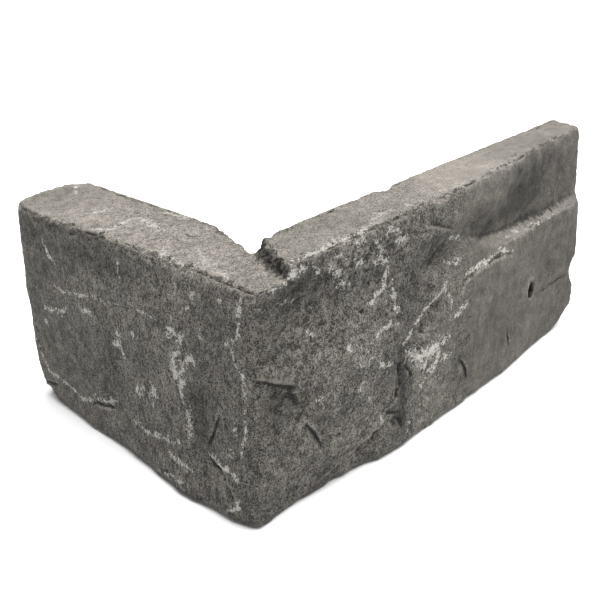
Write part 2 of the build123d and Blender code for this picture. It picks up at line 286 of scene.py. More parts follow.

# Darker (minus) and lighter (plus) patches, mostly stains and some painted shade: place, reach both ways,
# strength.
LONG_SHADES = (
    # Painted shade in the scoop under the top and under the undercut's overhang.
    (-14, 90, 16, 5, -0.4),
    (-25, 50, 8, 5, -0.5),
    (-14, 66, 14, 10, 0.06),
    (66, 78, 11, 7, -0.4),
    # Partly painted shade and partly stain, in the band above the ledge.
    (108, 77, 26, 6, -0.3),
    (105, 45, 35, 20, 0.02),
    (60, 18, 16, 14, 0.2),
    (160, 45, 18, 25, -0.08),
    (135, 84, 35, 9, -0.15),
    (85, 25, 30, 15, -0.1),
    (46, 66, 12, 14, -0.12),
    (112, 92, 3, 3, -0.35),
    (117, 86, 2.5, 3, -0.3),
    (124, 93, 3, 2.5, -0.35),
    (131, 88, 2.5, 4, -0.3),
    (126, 80, 3, 3, -0.3),
    (137, 92, 2, 3, -0.3),
    (145, 88, 2, 4, -0.3),
    (108, 84, 2, 2, -0.3),
    (141, 77, 4, 2, -0.3),
    (90, 52, 3, 2, -0.25),
    (72, 24, 2, 2, -0.3),
    (20, 20, 18, 12, 0.15),
    # Painted shade in the riser's hollow.
    (37, 36, 3.5, 12, -0.7),
    (34, 16, 4, 6, -0.45),
    (38, 12, 5, 6, -0.4),
    (10, 60, 20, 14, 0.15),
    (-20, 84, 9, 7, -0.35),
    (-2, 84, 9, 6, -0.3),
    (-26, 72, 7, 5, -0.25),
    (25, 84, 5, 4, -0.35),
    (12, 84, 5, 3, -0.2),
    (0, 50, 10, 16, 0.15),
    (-27, 44, 10, 4, -0.3),
    (122, 90, 4, 6, -0.3),
    (128, 80, 6, 5, -0.3),
    (138, 84, 3, 9, -0.2),
    (150, 92, 8, 3, -0.2),
    (118, 75, 10, 3, -0.25),
    (96, 82, 10, 6, -0.2),
    (150, 82, 18, 8, -0.15),
    (46, 70, 7, 6, -0.25),
    (38, 24, 3, 7, -0.35),
    (100, 40, 4, 12, -0.15),
    (88, 26, 3, 8, -0.2),
)
SHORT_SHADES = (
    (96, 93, 16, 4, -0.5),
    (66, 93, 12, 3, -0.35),
    (100, 84, 25, 5, -0.25),
    (60, 84, 20, 5, -0.3),
    # Painted shade in the hollow beside the corner arris.
    (5, 38, 7, 16, -0.45),
    (85, 45, 30, 18, -0.15),
    (45, 70, 25, 10, 0.3),
    (20, 40, 25, 22, 0.15),
    (60, 10, 40, 5, 0.2),
    (15, 85, 12, 8, 0.3),
)
TOP_SHADES = (
    (-18, 112, 30, 16, -0.2),
    (150, -12, 40, 20, -0.28),
    (60, -12, 40, 20, 0.1),
    (-22, 60, 16, 22, 0.12),
    (-26, 20, 14, 34, 0.18),
    (40, -12, 30, 14, -0.04),
)


def smoothstep(low, high, value):
    """Ease from 0 at low to 1 at high."""
    share = np.clip((value - low) / (high - low), 0.0, 1.0)
    return share * share * (3.0 - 2.0 * share)


def spot(along, up, centre, level, reach_along, reach_up):
    """A soft round spot, 1 at its centre."""
    return np.exp(-(((along - centre) / reach_along) ** 2 + ((up - level) / reach_up) ** 2))


class Noise:
    """Seeded smooth noise over points in millimetres, about -1 to 1."""

    def __init__(self, seed):
        rng = np.random.default_rng(seed)
        self.order = rng.permutation(512)
        slopes = rng.normal(size=(512, 3))
        self.slopes = slopes / np.linalg.norm(slopes, axis=1, keepdims=True)

    def pick(self, cell):
        """Row number of each lattice cell."""
        first = self.order[cell[:, 0] & 511]
        second = self.order[(first + cell[:, 1]) & 511]
        return self.order[(second + cell[:, 2]) & 511]

    def wave(self, points):
        """One octave at a lattice of 1."""
        cell = np.floor(points).astype(np.int64)
        inner = points - cell
        ease = inner**3 * (inner * (inner * 6.0 - 15.0) + 10.0)
        total = np.zeros(len(points))
        for corner in product((0, 1), repeat=3):
            offset = inner - corner
            slope = self.slopes[self.pick(cell + corner)]
            weight = np.prod(np.where(corner, ease, 1.0 - ease), axis=1)
            total += weight * np.einsum("ij,ij->i", slope, offset)
        return total * 1.6

    def layers(self, points, *octaves):
        """Sum of octaves given as (lattice, height) pairs."""
        return sum(height * self.wave(points / lattice + lattice) for lattice, height in octaves)

    def chips(self, points):
        """Depth 0 to 1 of angular chips, one per jittered cell of a lattice of 1."""
        cell = np.floor(points).astype(np.int64)
        nearest = np.full(len(points), 9.0)
        second = np.full(len(points), 9.0)
        depth = np.zeros(len(points))
        for corner in product((-1, 0, 1), repeat=3):
            row = self.pick(cell + corner)
            seed = cell + corner + 0.5 + 0.42 * self.slopes[row]
            gap = np.linalg.norm(points - seed, axis=1)
            closer = gap < nearest
            second = np.where(closer, nearest, np.minimum(second, gap))
            depth = np.where(closer, (row % 97) / 96.0, depth)
            nearest = np.where(closer, gap, nearest)
        return depth * smoothstep(0.0, 0.22, second - nearest)


def curved(points):
    """The line with its corners cut twice."""
    for _ in range(2):
        cut = [points[0]]
        for (x0, z0), (x1, z1) in zip(points, points[1:]):
            cut.append((0.75 * x0 + 0.25 * x1, 0.75 * z0 + 0.25 * z1))
            cut.append((0.25 * x0 + 0.75 * x1, 0.25 * z0 + 0.75 * z1))
        points = [*cut, points[-1]]
    return points


def close_to(points, along, up, face, reach):
    """Rows of the places on a face that lie within reach of a line's box."""
    xs, zs = zip(*points)
    inside = (face > 0.01) & (along > min(xs) - reach) & (along < max(xs) + reach)
    return np.flatnonzero(inside & (up > min(zs) - reach) & (up < max(zs) + reach))


def line_offset(along, up, points):
    """Signed distance of each place from a line of points, and a taper that is 0 at the line's ends."""
    best = np.full(len(along), 1e6)
    side = np.ones(len(along))
    place = np.zeros(len(along))
    lengths = [0.0]
    for (x0, z0), (x1, z1) in zip(points, points[1:]):
        lengths.append(lengths[-1] + ((x1 - x0) ** 2 + (z1 - z0) ** 2) ** 0.5)
    for (x0, z0), (x1, z1), before, after in zip(points, points[1:], lengths, lengths[1:]):
        run, rise = x1 - x0, z1 - z0
        square = run * run + rise * rise
        share = np.clip(((along - x0) * run + (up - z0) * rise) / square, 0.0, 1.0)
        gap = np.hypot(along - x0 - share * run, up - z0 - share * rise)
        turn = np.sign(run * (up - z0) - rise * (along - x0))
        closer = gap < best
        best = np.where(closer, gap, best)
        side = np.where(closer, turn, side)
        place = np.where(closer, before + share * (after - before), place)
    taper = 1.0 - np.abs(2.0 * place / lengths[-1] - 1.0) ** 3
    return side * best, taper


class Surface:
    """Points of a dense mesh in millimetres, with the links between them."""

    def __init__(self, mesh):
        count = len(mesh.vertices)
        flat = np.empty(count * 3)
        mesh.vertices.foreach_get("co", flat)
        self.points = flat.reshape(-1, 3) * MM
        links = np.empty(len(mesh.edges) * 2, dtype=np.int64)
        mesh.edges.foreach_get("vertices", links)
        self.start, self.end = links.reshape(-1, 2).T
        self.count = count
        degree = np.bincount(self.start, minlength=count) + np.bincount(self.end, minlength=count)
        self.degree = np.maximum(degree, 1)

    def blurred(self, values, rounds, weight=0.6):
        """Values averaged with their neighbours, round after round."""
        values = np.array(values, dtype=float)
        single = values.ndim == 1
        columns = [values] if single else list(values.T)
        for index, column in enumerate(columns):
            for _ in range(rounds):
                total = np.bincount(self.start, column[self.end], self.count)
                total += np.bincount(self.end, column[self.start], self.count)
                column = column + weight * (total / self.degree - column)
            columns[index] = column
        return columns[0] if single else np.stack(columns, axis=1)

    def write(self, mesh):
        """Put the points back into the mesh."""
        mesh.vertices.foreach_set("co", (self.points / MM).ravel())
        mesh.update()

    def normals(self, mesh):
        """Vertex normals of the mesh as it is now."""
        flat = np.empty(self.count * 3)
        mesh.vertex_normals.foreach_get("vector", flat)
        return flat.reshape(-1, 3)


def colour_value(name, description, default):
    """A colour that a user can change."""
    limits = {"min": 0.0, "max": 1.0}
    return FloatVectorProperty(name=name, description=description, default=default, subtype="COLOR", **limits)


def length_value(name, description, default, low, high):
    """A length in metres that a user can change."""
    measure = {"subtype": "DISTANCE", "unit": "LENGTH"}
    return FloatProperty(name=name, description=description, default=default, min=low, max=high, **measure)


class StoneShape(bpy.types.PropertyGroup):
    """Sizes of the riven relief."""

    grid: length_value("Grid", "Spacing of the mesh before it is thinned", 0.00052, 0.0004, 0.004)
    relief: length_value("Relief", "Height of the broad riven waves", 0.0009, 0.0, 0.004)
    grit: length_value("Grit", "Height of the fine rough grain", 0.00018, 0.0, 0.001)
    chips: length_value("Chips", "Depth of the chips along the worn edges", 0.0017, 0.0, 0.005)
    most_faces: IntProperty(
        name="Most Faces",
        description="Triangles kept when the mesh is thinned",
        default=192000,
        min=20000,
        max=199000,
    )
    seed: IntProperty(name="Seed", description="Start of the random relief", default=7, min=0)


class StoneFinish(bpy.types.PropertyGroup):
    """Colours of the rock."""

    dark: colour_value("Dark Grain", "Darkest grains of the riven rock", (0.009, 0.0083, 0.0075))
    light: colour_value("Light Grain", "Lightest grains of the riven rock", (0.182, 0.170, 0.150))
    bleached: colour_value("Bleached Top", "Dusty beige of the tops", (0.340, 0.314, 0.276))
    bleached_dark: colour_value("Bleached Grain", "Darker grains of the tops", (0.083, 0.076, 0.067))
    mineral: colour_value("Mineral", "Pale crust and veins", (0.53, 0.515, 0.475))
    rust: colour_value("Brown Fleck", "Small brown flecks", (0.105, 0.068, 0.04))
    # The crack colour is painted shade at the bottom of the grooves.
    crack_shade: colour_value("Crack", "Bottom of the thin cracks", (0.006, 0.0055, 0.005))
    sawn: colour_value("Sawn Back", "Light grains of the sawn backs", (0.145, 0.138, 0.127))
    sawn_dark: colour_value("Sawn Grain", "Dark grains of the sawn backs", (0.065, 0.063, 0.058))
    grain: length_value("Grain Size", "Size of the grains that colour the rock", 0.0007, 0.0002, 0.01)


class StudioStage(bpy.types.PropertyGroup):
    """Floor and light."""

    floor: colour_value("Floor", "Colour of the plain floor", (0.84, 0.84, 0.84))
    top_light: FloatProperty(
        name="Top Light",
        description="Strength of the broad light from above",
        default=6.3,
        min=0.0,
    )
    sky: FloatProperty(
        name="Surroundings",
        description="Strength of the even white surroundings",
        default=0.45,
        min=0.0,
    )


def dense_copy(node, grid):
    """A closed copy of a CAD node's mesh on an even grid."""
    work = bpy.data.objects.new(PIECE + "_work", node.data.copy())
    bpy.context.scene.collection.objects.link(work)
    weld = work.modifiers.new("weld", "WELD")
    weld.merge_threshold = 1e-6
    remesh = work.modifiers.new("grid", "REMESH")
    remesh.mode = "VOXEL"
    remesh.voxel_size = grid
    mesh = applied(work)
    old = work.data
    bpy.data.objects.remove(work)
    bpy.data.meshes.remove(old)
    return mesh


def applied(piece):
    """The mesh of a piece with its modifiers applied."""
    graph = bpy.context.evaluated_depsgraph_get()
    graph.update()
    return bpy.data.meshes.new_from_object(piece.evaluated_get(graph), depsgraph=graph)


def thinned(mesh, most):
    """The mesh with flat parts thinned to a number of triangles."""
    piece = bpy.data.objects.new(PIECE, mesh)
    bpy.context.scene.collection.objects.link(piece)
    mesh.calc_loop_triangles()
    triangles = len(mesh.loop_triangles)
    if triangles > most:
        thin = piece.modifiers.new("thin", "DECIMATE")
        thin.decimate_type = "COLLAPSE"
        thin.ratio = most / triangles
        thin.use_collapse_triangulate = True
        light = applied(piece)
        piece.modifiers.clear()
        piece.data = light
        bpy.data.meshes.remove(mesh)
    return piece


def regions(surface, normals):
    """How much each point belongs to each face of the stone, from 0 to 1."""
    x, y, z = surface.points.T
    even = surface.blurred(normals, 4)
    even /= np.linalg.norm(even, axis=1, keepdims=True)
    east, north, up = even.T
    flat_back = (np.abs(y) < 0.5) & (north > 0.85) & (x > 0.0)
    flat_side = (np.abs(x) < 0.5) & (east > 0.85) & (y > 0.0)
    masks = {
        "long": smoothstep(0.35, 0.8, -north),
        "short": smoothstep(0.35, 0.8, -east),
        "top": smoothstep(0.45, 0.85, up) * smoothstep(88.0, 92.0, z),
        "bed": smoothstep(0.6, 0.9, -up) * smoothstep(2.0, 0.5, z),
        "back": (flat_back | flat_side).astype(float),
        "long_end": smoothstep(0.5, 0.85, east) * smoothstep(150.0, 160.0, x),
        "short_end": smoothstep(0.5, 0.85, north) * smoothstep(100.0, 110.0, y),
    }
    return {name: surface.blurred(mask, 2) for name, mask in masks.items()}


class Stone:
    """The stone while its faces are broken. All its lengths are in millimetres."""

    def __init__(self, mesh, shape):
        self.mesh = mesh
        self.relief = shape.relief * MM
        self.grit = shape.grit * MM
        self.chip = shape.chips * MM
        self.noise = Noise(shape.seed)
        self.surface = Surface(mesh)
        normals = self.surface.normals(mesh)
        self.mask = regions(self.surface, normals)
        self.chipped = self.bow_notch()
        self.edge = self.soften(normals)
        self.rest = self.surface.points
        self.height = np.zeros(self.surface.count)
        self.shade = np.full(self.surface.count, 0.5)

        x, y, z = self.rest.T
        mask = self.mask
        self.broken = mask["short"] * smoothstep(*BREAK_WALL, x)
        self.short = mask["short"] - self.broken
        sharp = smoothstep(0.1, 0.5, self.edge)
        self.worn = self.surface.blurred(sharp, 3)
        self.rim = self.surface.blurred(sharp, 26)
        self.at_back = ((y > -1.0) & (x > 2.0)) | ((x > -1.0) & (y > 2.0))

        # How each face is read: along, up, and how much each point belongs to it.
        long_way, short_way = x - CORNER[0], y - CORNER[1]
        arris = (1.0 - mask["top"]) * smoothstep(34.0, 26.0, long_way + short_way)
        self.faces = (
            (x, z, mask["long"]),
            (y, z, self.short),
            (x, y, mask["top"]),
            (long_way - short_way, z, arris),
        )

    def bow_notch(self):
        """End the chip behind the inner corner in a ragged bow instead of the solid's straight foot."""
        surface, mask = self.surface, self.mask
        x, y, z = surface.points.T
        pocket = (x > -13.0) & (x < 0.3) & (y > 0.0) & (y < 44.0) & (z > 70.0) & (mask["top"] < 0.5)
        wide, tall, head = 37.0, 25.0, 99.0
        bow = np.hypot(y / wide, (head - z) / tall)
        bow += 0.14 * self.noise.layers(surface.points, (8.0, 1.0), (3.0, 0.5))
        filled = surface.blurred((pocket & (bow > 0.9) & (x > -2.5)).astype(float), 3)
        surface.points[:, 0] *= 1.0 - filled * pocket
        chipped = surface.blurred((pocket & (bow <= 0.9) & (mask["back"] < 0.5)).astype(float), 3)
        mask["back"] = np.maximum(mask["back"], filled * (1.0 - chipped))
        return chipped

    def soften(self, normals):
        """Soften the modelled facets, keep the sawn faces flat, and give how far each point stands proud."""
        surface, mask = self.surface, self.mask
        riven = np.clip(mask["long"] + mask["short"] + mask["long_end"] + mask["short_end"], 0.0, 1.0)
        soft = surface.blurred(surface.points, 26)
        keep = surface.blurred(np.clip(riven * 1.2 - 0.2, 0.0, 1.0), 6)[:, None]
        edge = np.einsum("ij,ij->i", surface.points - surface.blurred(soft, 60), normals)
        surface.points = surface.points * (1.0 - keep) + soft * keep
        return edge

    def rive(self):
        """The relief that splitting leaves: rugged on the boss, calmer on the rest, faint on the sawn bed."""
        rest, noise, mask, relief, short = self.rest, self.noise, self.mask, self.relief, self.short
        x, _, z = rest.T
        fade = smoothstep(*BOSS_END, x)
        boss = mask["long"] * (1.0 - fade)
        far = mask["long"] * fade
        broad = noise.layers(rest, (24.0, 0.8), (11.0, 0.6))
        middle = noise.layers(rest, (6.0, 0.5), (3.2, 0.3))
        fine = noise.layers(rest, (1.7, 0.6), (0.95, 0.6))
        folds, small_folds = (0.4 - np.abs(noise.layers(rest, (lattice, 1.0))) for lattice in (4.2, 2.1))
        rugged = folds + 0.6 * small_folds
        level, steep = cos(radians(BEDDING)), sin(radians(BEDDING))
        turn = np.array(((1.0, 0.0, 0.0), (0.0, level, steep), (0.0, -steep, level)))
        ribs = noise.layers((rest @ turn.T) / (3.0, 9.0, 1.0), (1.5, 0.5), (3.2, 0.5))
        hanging = noise.layers(rest / (1.0, 1.0, 8.0), (1.4, 0.3), (3.4, 0.6))

        # Fine ribs fan out below the corner's scoop, as they do where rock splits.
        away, rise = x - SCOOP[0], z - SCOOP[1]
        fan = np.stack((np.arctan2(rise, away) * 22.0, np.hypot(away, rise) / 9.0, 0.0 * x), axis=1)
        plume = noise.layers(fan, (1.0, 0.6), (2.3, 0.6)) * spot(x, z, -14.0, 72.0, 18.0, 16.0)

        height = self.height
        height += relief * boss * (broad + middle + 0.3 * rugged + 0.4 * plume)
        height += relief * far * (0.35 * broad + 0.35 * middle + 0.2 * hanging)
        height += relief * short * (0.4 * broad + 0.35 * middle + 0.2 * ribs + 0.25 * rugged)
        height += relief * (mask["long_end"] + mask["short_end"]) * (0.5 * broad + 0.5 * middle)
        height += relief * self.broken * (noise.layers(rest + 50.0, (3.6, 1.0), (1.8, 0.8)) - 0.4)
        height += 0.7 * relief * self.chipped * (noise.layers(rest + 50.0, (4.5, 1.0), (2.0, 0.6)) - 0.2)
        rough = boss * 1.5 + 0.7 * far + short + mask["short_end"] + mask["long_end"]
        height += self.grit * fine * np.clip(rough, 0.0, 1.5)
        height += mask["top"] * (0.25 * middle + 0.8 * self.grit * fine)
        height += mask["bed"] * 0.15 * middle

    def add_forms(self):
        """Broad forms, and stains and painted shade, placed one by one."""
        x, y, z = self.rest.T
        for forms, along, face in ((LONG_FORMS, x, self.mask["long"]), (SHORT_FORMS, y, self.mask["short"])):
            for *place, rise in forms:
                self.height += face * rise * spot(along, z, *place)
        for stains, (along, up, face) in zip((LONG_SHADES, SHORT_SHADES, TOP_SHADES), self.faces):
            for *place, amount in stains:
                self.shade += face * amount * spot(along, up, *place)
        self.shade -= BREAK_SHADE * self.broken

    def chip_arrises(self):
        """Angular chips of two sizes, where the stone turns sharply outward."""
        noise, mask = self.noise, self.mask
        z = self.rest[:, 2]
        bevel = self.surface.blurred(np.clip(self.edge / 0.7, 0.0, 1.2), 2)
        arris = smoothstep(0.95, 0.75, np.maximum(mask["long"], mask["short"]))
        upright = mask["long"] * mask["short"] * 4.0
        near = np.flatnonzero(bevel > 0.05)
        places = self.rest[near]
        bend = noise.layers(places, (2.5, 0.6))[:, None]
        large = noise.chips((places + bend) / 8.0) ** 2
        small = noise.chips((places - bend) / 3.4 + 30.0)
        gnawed = np.abs(noise.layers(places, (9.0, 1.0), (4.0, 0.6)))
        patchy = 0.35 + 0.65 * smoothstep(-0.3, 0.4, noise.layers(places + 20.0, (22.0, 1.0), (9.0, 0.5)))
        strength = bevel * np.where(self.at_back, np.where(z > 85.0, 0.35, 0.25), 1.0)
        strength *= 1.0 + 0.7 * smoothstep(14.0, 6.0, z)
        strength *= (0.2 + 0.8 * arris) * (1.0 - 0.55 * np.clip(upright, 0.0, 1.0))
        crumble = np.zeros(self.surface.count)
        crumble[near] = patchy * (1.3 * large + 0.5 * small + 0.7 * gnawed)
        self.height -= self.chip * strength * crumble

    def fray_tops(self):
        """Fray the tops' outer arrises, crumble the rock beside the corner, and give where it is frayed."""
        rest, noise = self.rest, self.noise
        x, _, z = rest.T
        torn = 0.75 * self.rim + 0.5 * noise.layers(rest, (11.0, 0.7), (3.4, 0.8), (1.6, 0.3))
        frayed = smoothstep(0.5, 0.72, torn) * smoothstep(82.0, 90.0, z) * np.where(self.at_back, 0.0, 1.0)
        frayed *= 1.0 - 0.7 * smoothstep(60.0, 100.0, x)
        self.height -= FRAYING * frayed * (0.5 + 1.2 * noise.layers(rest, (3.4, 0.7), (1.8, 0.6)))
        crumbled = self.mask["long"] * spot(x, z, 18.0, 90.0, 20.0, 9.0)
        rubble = noise.layers(rest + 90.0, (5.5, 0.8), (2.6, 0.6), (1.4, 0.3))
        self.height += CRUMBLING * crumbled * rubble
        return frayed

    def cut_cracks(self, wander):
        """Cut the grooves, and give their painted shade and how far each point is to their left."""
        crack_shade = np.zeros(self.surface.count)
        offset = np.full(self.surface.count, 4.0)
        for cracks, (along, up, face) in zip((LONG_CRACKS, SHORT_CRACKS, TOP_CRACKS), self.faces):
            for points, half_width, reach, depth, darkness in cracks:
                rows = close_to(points, along, up, face, 2.2 * max(reach, half_width) + 2.0)
                shift = wander[rows]
                signed, taper = line_offset(along[rows] + shift, up[rows] - shift, curved(points))
                on_face = smoothstep(0.05, 0.45, face[rows])
                groove = np.exp(-((signed / np.where(signed > 0.0, reach, half_width)) ** 2))
                self.height[rows] -= depth * on_face * taper * groove
                dark = darkness * on_face * taper * smoothstep(3.4, 2.4, np.abs(signed))
                stronger = dark > crack_shade[rows]
                crack_shade[rows] = np.where(stronger, dark, crack_shade[rows])
                offset[rows] = np.where(stronger, signed / (half_width / 0.5) ** 0.8, offset[rows])
        return crack_shade, offset

    def lay_crust(self, wander):
        """Lay the mineral strokes, which stand a little proud, and give their mask."""
        mineral = np.zeros(self.surface.count)
        sets = (LONG_MINERAL, SHORT_MINERAL, TOP_MINERAL, ARRIS_MINERAL)
        for strokes, (along, up, face) in zip(sets, self.faces):
            for points, half_width, strong in strokes:
                rows = close_to(points, along, up, face, 1.3 * half_width + 4.0)
                shift = wander[rows]
                signed, taper = line_offset(along[rows] + shift, up[rows] + shift, points)
                field = np.clip(1.0 - np.abs(signed) / (0.75 + 1.35 * half_width), 0.0, 1.0)
                laid = strong * face[rows] * field * (0.6 + 0.4 * taper)
                mineral[rows] = np.maximum(mineral[rows], laid)
        self.height += CRUST * smoothstep(0.3, 0.7, mineral)
        return mineral

    def settle(self):
        """Move the surface to its new height, inside the CAD model's box."""
        surface = self.surface
        surface.write(self.mesh)
        even = surface.blurred(surface.normals(self.mesh), 3)
        even /= np.linalg.norm(even, axis=1, keepdims=True)
        low, high = (np.array(corner) * MM for corner in CAD_BOX)
        surface.points = np.clip(self.rest + even * self.height[:, None], low, high)
        surface.write(self.mesh)

    def calm_masks(self, sawn):
        """How calm and how dark the rock is: calmer and lighter right of the riser, calmest at its ends."""
        x, y, z = self.rest.T
        top = self.mask["top"]
        beyond = x - RISER - RISER_LEAN * np.maximum(z - RISER_TURN, 0.0)
        by_end = smoothstep(*CALM_RUN, x)
        calm = np.maximum(by_end, 0.6 * smoothstep(-4.0, 8.0, beyond)) * (1.0 - top)
        calm = np.maximum(calm, top * by_end)
        calm = np.maximum(calm, 0.65 * smoothstep(*CALM_SHORT_RUN, y)) * (1.0 - 0.6 * sawn)
        lighter = 0.12 * self.mask["long"] * smoothstep(-3.0, 5.0, beyond) * smoothstep(40.0, 15.0, beyond)
        return calm, self.shade + lighter

    def ridges(self, normals):
        """From 0 in hollows to 1 on ridges."""
        surface = self.surface
        near_blur = surface.blurred(surface.points, 5)
        wide_blur = surface.blurred(near_blur, 22)
        tight = np.einsum("ij,ij->i", surface.points - near_blur, normals)
        wide = np.einsum("ij,ij->i", near_blur - wide_blur, normals)
        return np.clip((tight / 0.18 + wide / 0.6) * (1.0 - 0.6 * self.worn), -1.0, 1.0) * 0.5 + 0.5


def break_rock(mesh, shape):
    """Turn the mesh's plain faces into riven rock, and give the masks that the finish reads."""
    stone = Stone(mesh, shape)
    stone.rive()
    stone.add_forms()
    stone.chip_arrises()
    frayed = stone.fray_tops()
    wander = 0.7 * stone.noise.layers(stone.rest, (5.0, 0.9), (2.2, 0.5), (1.2, 0.35))
    crack_shade, offset = stone.cut_cracks(wander)
    mineral = stone.lay_crust(wander)
    stone.settle()
    normals = stone.surface.normals(mesh)
    up = normals[:, 2]
    top = stone.mask["top"]
    sawn = np.clip(stone.mask["back"] + stone.mask["bed"], 0.0, 1.0)
    calm, shade = stone.calm_masks(sawn)
    return {
        "mineral": mineral,
        "crack_shade": crack_shade,
        "crack_offset": offset,
        "top": top * smoothstep(0.5, 0.85, up) * (1.0 - 0.85 * frayed),
        # Slopes that face up: partly dust, partly painted light from above.
        "dust_and_painted_light": smoothstep(0.2, 0.75, up) * (1.0 - top) * (1.0 - stone.broken),
        "short": stone.short,
        "calm": calm,
        "shade": shade,
        "sawn": sawn,
        "ridge": stone.ridges(normals),
    }


class CORNERSTONE_OT_shape(bpy.types.Operator):
    """Make the riven stone from the CAD solid"""

    bl_idname = "corner_stone.shape"
    bl_label = "Riven Stone"

    def execute(self, context):
        shape = context.scene.stone_shape
        grid = shape.grid * 1.0
        mesh = dense_copy(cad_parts[NODE], grid)
        if len(mesh.vertices) == 0:
            raise RuntimeError("the remeshed stone is empty")
        for name, values in break_rock(mesh, shape).items():
            layer = mesh.attributes.new(name, "FLOAT", "POINT")
            layer.data.foreach_set("value", values.astype(np.float32))
        piece = thinned(mesh, shape.most_faces)
        piece.data.name = PIECE
        piece.data.shade_smooth()
        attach(piece, "root")
        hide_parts(NODE)
        return {"FINISHED"}


class Board:
    """Short calls for laying out nodes in one tree."""

    def __init__(self, tree):
        self.tree = tree

    def put(self, kind, inputs=(), **settings):
        """A node with its settings, and its inputs given as (name, value or socket) pairs."""
        made = self.tree.nodes.new(kind)
        for name, value in settings.items():
            setattr(made, name, value)
        for name, value in inputs:
            self.join(value, made.inputs[name])
        return made

    def join(self, value, socket):
        """Link a socket, or set a plain value."""
        if isinstance(value, bpy.types.NodeSocket):
            self.tree.links.new(value, socket)
        else:
            socket.default_value = value

    def math(self, operation, first, second=0.0):
        """Result of a Math node."""
        return self.put("ShaderNodeMath", ((0, first), (1, second)), operation=operation).outputs[0]

    def swing(self, value, amount):
        """How far a value is from its middle of 0.5, times an amount."""
        return self.math("MULTIPLY", self.math("SUBTRACT", value, 0.5), amount)

    def ease(self, value, low, high, start=0.0, end=1.0):
        """Smooth change from start at low to end at high."""
        inputs = ((0, value), (1, low), (2, high), (3, start), (4, end))
        return self.put("ShaderNodeMapRange", inputs, interpolation_type="SMOOTHSTEP").outputs[0]

    def mix(self, factor, first, second):
        """Mixed colour."""
        return self.put("ShaderNodeMix", ((0, factor), (6, first), (7, second)), data_type="RGBA").outputs[2]

    def noise(self, place, size, detail, roughness):
        """Noise of a given grain size in metres."""
        inputs = (("Vector", place), ("Scale", 1.0 / size), ("Detail", detail), ("Roughness", roughness))
        return self.put("ShaderNodeTexNoise", inputs).outputs[0]

    def stretched(self, place, scale, turn=(0.0, 0.0, 0.0)):
        """Place drawn out, for grain that runs one way, then turned to another part of its noise."""
        inputs = (("Vector", place), ("Rotation", Euler(turn)), ("Scale", Vector(scale)))
        return self.put("ShaderNodeMapping", inputs).outputs[0]

    def attribute(self, name):
        """A mask kept on the mesh."""
        return self.put("ShaderNodeAttribute", (), attribute_name=name).outputs["Fac"]

    def group(self, tree, *inputs):
        """Outputs of a node group, placed with its inputs as (name, value or socket) pairs."""
        return self.put("ShaderNodeGroup", inputs, node_tree=tree).outputs


def new_group(name, inputs, outputs):
    """An empty shader node group with named sockets."""
    tree = bpy.data.node_groups.new(name, "ShaderNodeTree")
    for label, kind in inputs:
        tree.interface.new_socket(name=label, in_out="INPUT", socket_type=kind)
    for label, kind in outputs:
        tree.interface.new_socket(name=label, in_out="OUTPUT", socket_type=kind)
    board = Board(tree)
    return board, board.put("NodeGroupInput").outputs, board.put("NodeGroupOutput").inputs


def rock_grain_group(grain):
    """Speckle of light and dark grains with streaks, and the height that goes with it."""
    board, given, out = new_group(
        "Rock Grain",
        (("Place", "NodeSocketVector"), ("Short Face", "NodeSocketFloat"), ("Calm", "NodeSocketFloat")),
        (
            ("Tone", "NodeSocketFloat"),
            ("Flecks", "NodeSocketFloat"),
            ("Stain", "NodeSocketFloat"),
            ("Height", "NodeSocketFloat"),
        ),
    )
    place = given["Place"]
    speckle = board.noise(place, grain * 0.68, 2.0, 0.85)
    clumps = board.noise(place, grain * 1.5, 2.0, 0.7)
    drawn = board.stretched(place, (1.0, 1.0, 0.22), (radians(-28), 0.0, 0.0))
    drawn_out = board.noise(drawn, grain * 1.3, 3.0, 0.65)
    hanging = board.stretched(place, (1.0, 1.0, 0.16))
    hung = board.noise(hanging, grain * 2.6, 3.0, 0.65)
    blotch = board.noise(place, 0.014, 4.0, 0.6)
    patch = board.noise(place, 0.0045, 3.0, 0.6)
    tone = board.math("MULTIPLY", speckle, 0.6)
    tone = board.math("ADD", tone, board.math("MULTIPLY", clumps, 0.26))
    tone = board.math("ADD", tone, board.math("MULTIPLY", patch, 0.14))
    streaks = board.swing(drawn_out, board.math("MULTIPLY", given["Short Face"], 0.2))
    tone = board.math("ADD", tone, streaks)
    rain = board.swing(hung, board.math("MULTIPLY", given["Calm"], 0.16))
    tone = board.math("ADD", tone, rain)

    # The ends are smoother and more even than the rock beside the corner.
    calm = board.ease(given["Calm"], 0.0, 1.0, *CONTRAST)
    board.join(board.math("ADD", board.swing(tone, calm), 0.5), out["Tone"])
    fleck = board.noise(place, grain * 2.4, 2.0, 0.5)
    board.join(board.ease(fleck, 0.62, 0.72), out["Flecks"])
    stain = board.math("ADD", board.math("MULTIPLY", blotch, 0.6), board.math("MULTIPLY", patch, 0.4))
    board.join(board.swing(stain, 1.5), out["Stain"])
    height = board.math("ADD", board.math("MULTIPLY", speckle, 0.7), board.math("MULTIPLY", clumps, 0.6))
    height = board.math("ADD", height, board.math("MULTIPLY", streaks, 0.6))
    height = board.math("ADD", height, board.math("MULTIPLY", rain, 0.6))
    board.join(board.math("MULTIPLY", height, calm), out["Height"])
    return board.tree


